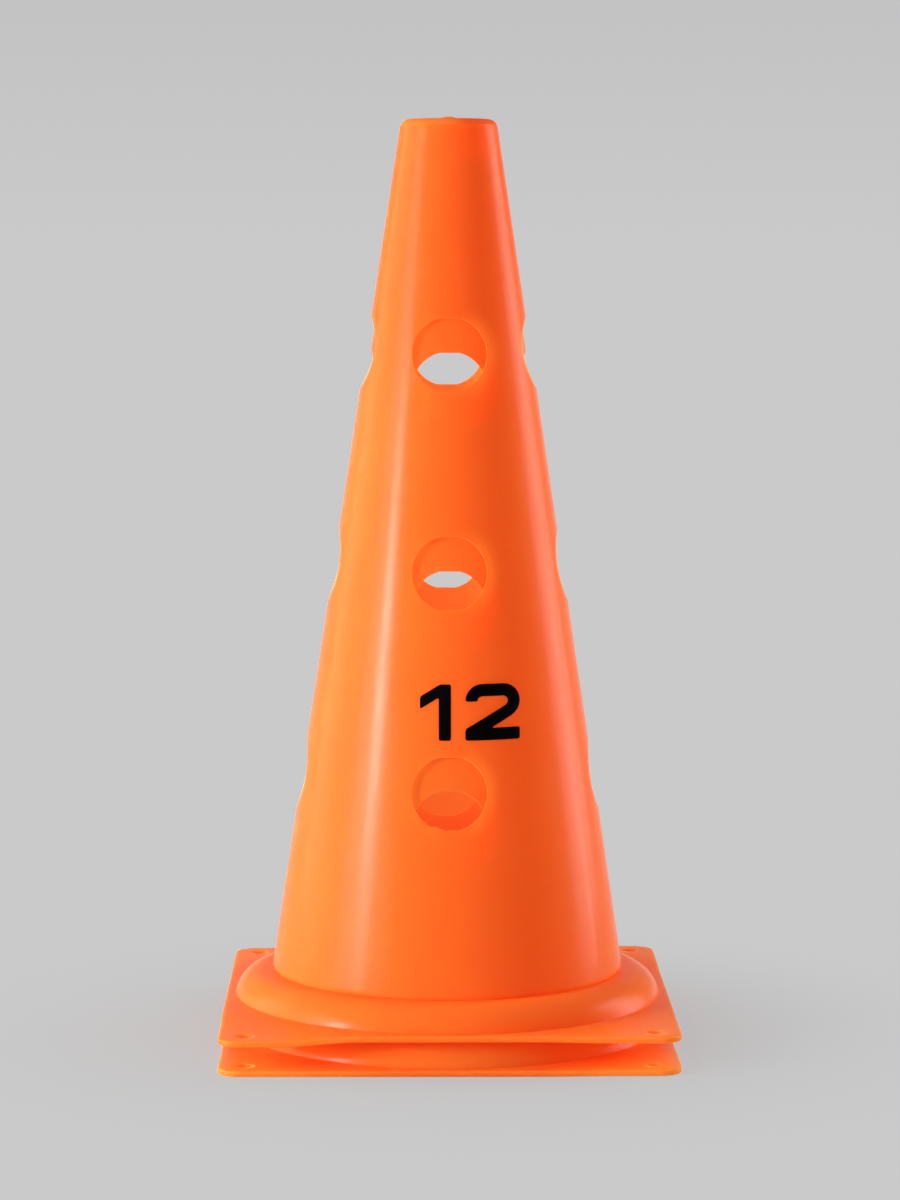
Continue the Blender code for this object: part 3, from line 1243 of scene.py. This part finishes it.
@dataclass(frozen=True)
class InkFinish:
    """A film of black printing ink."""

    colour: Colour = (0.001, 0.0008, 0.0008, 1.0)
    faded_colour: Colour = (0.003, 0.002, 0.002, 1.0)
    cloud_scale: float = 120.0
    fade_band: Pair = (0.5, 0.75)
    fade_share: float = 0.6
    streak_scale: float = 600.0
    speckle_scale: float = 2200.0
    speckle_band: Pair = (0.3, 0.7)
    scuff_scale: float = 60.0
    scuff_spread: float = 0.5
    roughness: float = 0.45
    smoother: float = 0.05
    rougher: float = 0.08
    grain_strength: float = 0.2
    grain_height: float = 0.03 * MM
    shine: float = 0.03

    def material(self, name: str, effects: SurfaceEffects) -> Material:
        """Make the ink as a material.

        Args:
            name: the material's name.
            effects: the shared node groups.

        Returns:
            The material.
        """
        material, tree = new_material(name, self.colour)
        mottle, scuffs, grain = effects.add_to(tree, self)
        clouds = tree.ramp(mottle["Clouds"], *self.fade_band, 0.0, self.fade_share)
        fade = tree.math("MAXIMUM", clouds, scuffs)
        rough = tree.ramp(mottle["Speckle"], *self.speckle_band, self.roughness - self.smoother,
                          self.roughness + self.rougher)
        tree.fill(material.node_tree.nodes["Principled BSDF"], {
            "Base Color": tree.blend(fade, self.colour, self.faded_colour), "Roughness": rough,
            "Normal": grain, "Specular IOR Level": self.shine})
        return material


@dataclass
class ConeShell:
    """One cone of the pair, as a closed shell that stands for its CAD node."""

    name: str
    node: str
    body: str
    form: ConeForm
    imperfection: Imperfection
    finish: PlasticFinish
    cover: float = 0.0
    sharp_angle: float = math.radians(40)

    def build(self, tree: ShellTree, quarter: Mesh, effects: SurfaceEffects) -> Object:
        """Make the shell where its CAD node is.

        Args:
            tree: the tree that repeats the quarter.
            quarter: the quarter of a shell.
            effects: the shared node groups.

        Returns:
            The finished piece.
        """
        form, flaw = self.form, self.imperfection
        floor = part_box(self.node)[0].z
        drops = {corner.drop_input: drop for corner, drop in flaw.corner_drops.items()}
        marks = ShellMarks([floor + height for height in form.hole_heights()],
                           form.pole_hole_radius, floor + form.height, self.cover)
        piece = tree.make(self.name, quarter, drops | {
            "Wave Height": flaw.wave_height, "Wave Scale": flaw.wave_scale, "Wave Seed": flaw.seed,
            "Wall Foot": form.collar_height + form.tuck_height,
            "Wall Top": form.height - form.crown_round,
            "Drop Start": flaw.drop_start, "Drop End": flaw.drop_end,
            "Burr Height": flaw.burr_height, "Burr Reach": flaw.burr_reach,
            "Burr Place": (flaw.burr_across, 0.0, form.low_hole - form.pole_hole_rise),
            "Material": self.finish.material(f"{self.name}_plastic", effects, marks),
            "Rest Height": floor})
        piece.data.set_sharp_from_angle(angle=self.sharp_angle)
        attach(piece, self.body)
        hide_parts(self.node)
        log.info("%s: %d faces for %s", piece.name, len(piece.data.polygons), self.node)
        return piece


@dataclass
class PrintedNumber:
    """The number printed on the upper cone's front, between two holes."""

    form: ConeForm
    finish: InkFinish
    height: float = 23.3 * MM
    stroke: float = 5.1 * MM
    gap: float = 6.0 * MM
    one_width: float = 13.0 * MM
    two_width: float = 23.0 * MM
    bowl_round: float = 7.2 * MM
    lean: float = math.radians(32)
    tip_share: float = 0.1
    flag_share: float = 0.85
    heel_share: float = 0.92
    shift: float = 8.6 * MM
    drop: float = 11.9 * MM
    corner_round: float = 0.9 * MM
    corner_steps: int = 4
    corner_profile: float = 0.5
    sharp_turn: float = math.radians(30)
    film: float = 0.05 * MM
    lift: float = 0.01 * MM
    steps: int = 10
    cell: float = 1.0 * MM

    def one(self) -> list[Pair]:
        """Draw the figure 1.

        Returns:
            Its outline, from its lower left corner.
        """
        right = self.one_width
        left = right - self.stroke
        reach = left + self.tip_share * self.stroke
        tip = self.height - reach * math.tan(self.lean)
        under = tip - self.flag_share * self.stroke / math.cos(self.lean)
        return [(left, 0.0), (right, 0.0), (right, self.height), (reach, self.height),
                (0.0, tip), (0.0, under), (left, under + left * math.tan(self.lean))]

    def two(self) -> list[Pair]:
        """Draw the figure 2.

        Returns:
            Its outline, from its lower left corner.
        """
        outer, inner = self.bowl_round, self.bowl_round - self.stroke
        up = self.height - outer
        left, right = (outer, up), (self.two_width - outer, up)
        heel = self.stroke * self.heel_share
        reach = math.hypot(right[0], up - heel)
        slope = math.atan2(up - heel, right[0]) - math.asin(inner / reach)
        top, leave = math.pi / 2, slope - math.pi / 2
        tail = outer * math.sin(leave) + up - self.stroke
        toe = right[0] + outer * math.cos(leave) - tail / math.tan(slope)
        bowl = arc(left, outer, math.pi, top, self.steps)
        bowl += arc(right, outer, top, leave, self.steps)
        foot = [(toe, self.stroke), (self.two_width, self.stroke), (self.two_width, 0.0),
                (0.0, 0.0), (0.0, heel)]
        back = arc(right, inner, leave, top, self.steps)
        return bowl + foot + back + arc(left, inner, top, math.pi, self.steps)

    def build(self, carrier: Object, effects: SurfaceEffects) -> Object:
        """Print the number on the carrier's front.

        Args:
            carrier: the shell that the number lies on.
            effects: the shared node groups.

        Returns:
            The finished piece.
        """
        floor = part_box("upper_cone")[0].z
        heights = self.form.hole_heights()
        low = floor + (heights[0] + heights[1] - self.height) / 2 - self.drop
        left = self.shift - (self.one_width + self.gap + self.two_width) / 2
        form = bmesh.new()
        self.add_figure(form, self.one(), left, low)
        self.add_figure(form, self.two(), left + self.one_width + self.gap, low)
        self.wrap(form, carrier)
        mesh = new_mesh("printed_number", form)
        mesh.materials.append(self.finish.material("print_ink", effects))
        piece = new_object("printed_number", mesh)
        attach(piece, "upper")
        log.info("%s: %d faces", piece.name, len(mesh.polygons))
        return piece

    def add_figure(self, form: bmesh.types.BMesh, outline: list[Pair], left: float,
                   low: float) -> None:
        """Add one figure as a flat, finely cut face in the plane of the front.

        Args:
            form: what to add it to.
            outline: the figure's outline.
            left: where its left side stands.
            low: height of its lower edge.
        """
        corners = [form.verts.new((left + x, 0.0, low + y)) for x, y in outline]
        form.faces.new(corners)
        sharp = [vert for vert in corners if vert.calc_edge_angle(0.0) > self.sharp_turn]
        bmesh.ops.bevel(form, geom=sharp, offset=self.corner_round, offset_type="OFFSET",
                        segments=self.corner_steps, profile=self.corner_profile,
                        affect="VERTICES")
        right = left + max(x for x, _ in outline)
        for start, end, along in ((left, right, Vector((1, 0, 0))),
                                  (low, low + self.height, Vector((0, 0, 1)))):
            count = math.ceil((end - start) / self.cell)
            for step in range(1, count):
                place = along * (start + (end - start) * step / count)
                bmesh.ops.bisect_plane(form, geom=form.verts[:] + form.edges[:] + form.faces[:],
                                       plane_co=place, plane_no=along, dist=SAME_POINT)

    def wrap(self, form: bmesh.types.BMesh, carrier: Object) -> None:
        """Lay the flat figures on the carrier as a closed film of ink.

        Args:
            form: the flat figures.
            carrier: the shell that they are laid on.
        """
        bmesh.ops.triangulate(form, faces=form.faces)
        surface = BVHTree.FromPolygons([vert.co for vert in carrier.data.vertices],
                                       [face.vertices for face in carrier.data.polygons])
        faces, rim = form.faces[:], [edge for edge in form.edges if edge.is_boundary]
        outer = {vert: form.verts.new(vert.co) for vert in form.verts[:]}
        for face in faces:
            form.faces.new([outer[vert] for vert in face.verts])
        for start, end in (edge.verts for edge in rim):
            form.faces.new([start, end, outer[end], outer[start]])
        for under, over in outer.items():
            before = Vector((under.co.x, -2 * self.form.foot_radius, under.co.z))
            place, normal, _, _ = surface.ray_cast(before, Vector((0, 1, 0)))
            under.co = place + normal * self.lift
            over.co = place + normal * (self.lift + self.film)
        bmesh.ops.recalc_face_normals(form, faces=form.faces)


@dataclass(frozen=True)
class Lamp:
    """A soft white rectangular lamp, placed by its bearing from the camera's side."""

    name: str
    bearing: float
    rise: float
    distance: float
    width: float
    height: float
    watts: float
    aim: float = 0.17

    def build(self) -> None:
        """Add the lamp, turned to the object."""
        turn, tilt = math.radians(self.bearing), math.radians(self.rise)
        target = Vector((0.0, 0.0, self.aim))
        level = self.distance * math.cos(tilt)
        place = target + Vector((level * math.sin(turn), -level * math.cos(turn),
                                 self.distance * math.sin(tilt)))
        data = bpy.data.lights.new(self.name, "AREA")
        data.shape = "RECTANGLE"
        data.size = self.width
        data.size_y = self.height
        data.energy = self.watts
        lamp = new_object(self.name, data)
        lamp.location = place
        lamp.rotation_euler = (target - place).to_track_quat("-Z", "Y").to_euler()


@dataclass
class Studio:
    """The pale floor, the backdrop, the lamps and the camera."""

    backdrop: float = 0.59
    backdrop_top: float = 0.54
    backdrop_band: Pair = (0.0, 0.07)
    room: float = 0.12
    room_band: Pair = (-0.7, 0.2)
    room_top: float = 0.5
    room_top_band: Pair = (0.02, 0.12)
    fill: float = 0.312
    fill_colour: Colour = (1.0, 1.0, 1.0, 1.0)
    floor_paint: Colour = (0.515, 0.535, 0.535, 1.0)
    floor_radius: float = 12.0
    floor_sides: int = 96
    floor_drop: float = 0.02 * MM
    fade_start: float = -0.2
    fade_end: float = 0.27
    camera_place: Triple = (-0.0211, -1.5748, 0.3413)
    camera_pitch: float = 0.09702
    camera_turn: float = math.radians(-0.8)
    camera_roll: float = 0.00198
    lens: float = 109.7
    sensor: float = 36.0
    clip: Pair = (0.05, 60.0)
    lamps: tuple[Lamp, ...] = (
        Lamp("left_wall", -100.0, 8.0, 1.6, 1.6, 1.3, 12.2),
        Lamp("left_near", -68.0, 8.0, 1.6, 0.6, 1.2, 14.6),
        Lamp("left_strip", -60.0, 8.0, 1.6, 0.28, 0.52, 10.1),
        Lamp("left_glint", -60.0, 8.0, 1.6, 0.27, 0.24, 7.6),
        Lamp("left_low", -58.0, 3.0, 1.6, 1.0, 0.24, 4.0),
        Lamp("right_side", 95.0, 8.0, 1.5, 0.5, 1.3, 1.8),
        Lamp("right_near", 108.0, 8.0, 1.5, 0.5, 1.3, 9.8),
        Lamp("right_rim", 120.0, 8.0, 1.5, 0.5, 1.3, 6.0),
    )

    def build(self) -> None:
        """Set the stage."""
        bpy.context.scene.view_settings.view_transform = "Standard"
        self.build_world()
        self.build_floor()
        for lamp in self.lamps:
            lamp.build()
        self.build_camera()
        log.info("studio: %d lamps", len(self.lamps))

    def build_world(self) -> None:
        """Make a plain fill light that the camera sees as the grey backdrop."""
        world = bpy.data.worlds.new("studio")
        bpy.context.scene.world = world
        world.use_nodes = True
        world.node_tree.nodes.clear()
        tree = NodeTree(world.node_tree)
        parts = tree.split(tree.add("ShaderNodeTexCoord").outputs["Generated"])
        shade = tree.ramp(parts["Z"], *self.backdrop_band, self.backdrop, self.backdrop_top,
                          smooth=False)
        room = tree.product(tree.ramp(parts["Y"], *self.room_band, self.room, self.backdrop),
                            tree.ramp(parts["Z"], *self.room_top_band, 1.0, self.room_top))
        seen, mirrored = [tree.add("ShaderNodeBackground", Color=colour).outputs[0]
                          for colour in (shade, room)]
        fill = tree.add("ShaderNodeBackground", Color=self.fill_colour,
                        Strength=self.fill).outputs[0]
        rays = tree.add("ShaderNodeLightPath").outputs
        shown = tree.math("MAXIMUM", rays["Is Camera Ray"], rays["Is Transmission Ray"])
        glossy = tree.choose(rays["Is Glossy Ray"], fill, mirrored)
        tree.add("ShaderNodeOutputWorld", Surface=tree.choose(shown, glossy, seen))

    def build_floor(self) -> None:
        """Lay a round floor that runs out into the backdrop's grey."""
        form = bmesh.new()
        bmesh.ops.create_circle(form, cap_ends=True, segments=self.floor_sides,
                                radius=self.floor_radius)
        floor = new_object("floor", new_mesh("floor", form))
        floor.location = (0.0, 0.0, -self.floor_drop)
        floor.data.materials.append(self.floor_material())

    def floor_material(self) -> Material:
        """Make the floor's paint, see-through from below.

        Returns:
            The material.
        """
        material, tree = new_material("studio_floor", self.floor_paint)
        material.node_tree.nodes.clear()
        away = tree.vector("LENGTH", tree.add("ShaderNodeTexCoord").outputs["Object"])
        paint = tree.add("ShaderNodeBsdfDiffuse", Color=self.floor_paint).outputs[0]
        plain = tree.add("ShaderNodeEmission", Color=(self.backdrop,) * 3 + (1.0,)).outputs[0]
        seen = tree.add("ShaderNodeLightPath").outputs["Is Camera Ray"]
        far = tree.ramp(away, tree.product(seen, self.fade_start), self.fade_end)
        clear = tree.add("ShaderNodeBsdfTransparent").outputs[0]
        under = tree.add("ShaderNodeNewGeometry").outputs["Backfacing"]
        mix = tree.choose(under, tree.choose(far, paint, plain), clear)
        tree.add("ShaderNodeOutputMaterial", Surface=mix)
        return material

    def build_camera(self) -> None:
        """Place the camera at the photograph's viewpoint."""
        data = bpy.data.cameras.new("camera")
        data.lens = self.lens
        data.sensor_width = self.sensor
        data.clip_start, data.clip_end = self.clip
        camera = new_object("camera", data)
        camera.matrix_world = (
            Matrix.Translation(self.camera_place)
            @ Matrix.Rotation(self.camera_turn, 4, "Z")
            @ Matrix.Rotation(math.pi / 2 - self.camera_pitch, 4, "X")
            @ Matrix.Rotation(self.camera_roll, 4, "Z")
        )
        bpy.context.scene.camera = camera


def main() -> None:
    """Build the pair of cones, the print and the studio."""
    logging.basicConfig(level=logging.INFO, format="%(name)s: %(message)s")
    form = ConeForm()
    effects = SurfaceEffects()
    quarter = QuarterShell(form).build()
    tree = ShellTree()
    # The lower cone's wall, covered by the upper cone, takes a darker colour and a painted glow
    # that together stand in for light coming through the upper cone.
    lower = ConeShell("lower_cone_shell", "lower_cone", "lower", form,
                      Imperfection(seed=3, corner_drops={Corner.FRONT_RIGHT: -0.3 * MM}),
                      PlasticFinish(painted_hollow_light=(1.53, 0.52, 0.1, 1.0),
                                    painted_wall_light=(0.56, 0.4, 0.05, 1.0),
                                    wall_tone_for_painted_light=(1.0, 0.6, 0.6, 1.0),
                                    painted_corner_light=(1.3, 0.5, 0.055, 1.0)),
                      cover=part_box("upper_cone")[0].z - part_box("lower_cone")[0].z)
    lower.build(tree, quarter, effects)
    drops = {Corner.FRONT_LEFT: 2.0 * MM, Corner.FRONT_RIGHT: 0.5 * MM,
             Corner.BACK_RIGHT: -0.9 * MM}
    upper = ConeShell("upper_cone_shell", "upper_cone", "upper", form,
                      Imperfection(seed=8, corner_drops=drops, burr_height=1.3 * MM),
                      PlasticFinish(painted_hollow_light=(1.53, 0.26, 0.05, 1.0)))
    shell = upper.build(tree, quarter, effects)
    PrintedNumber(form, InkFinish()).build(shell, effects)
    Studio().build()


if __name__ == "__main__":
    main()
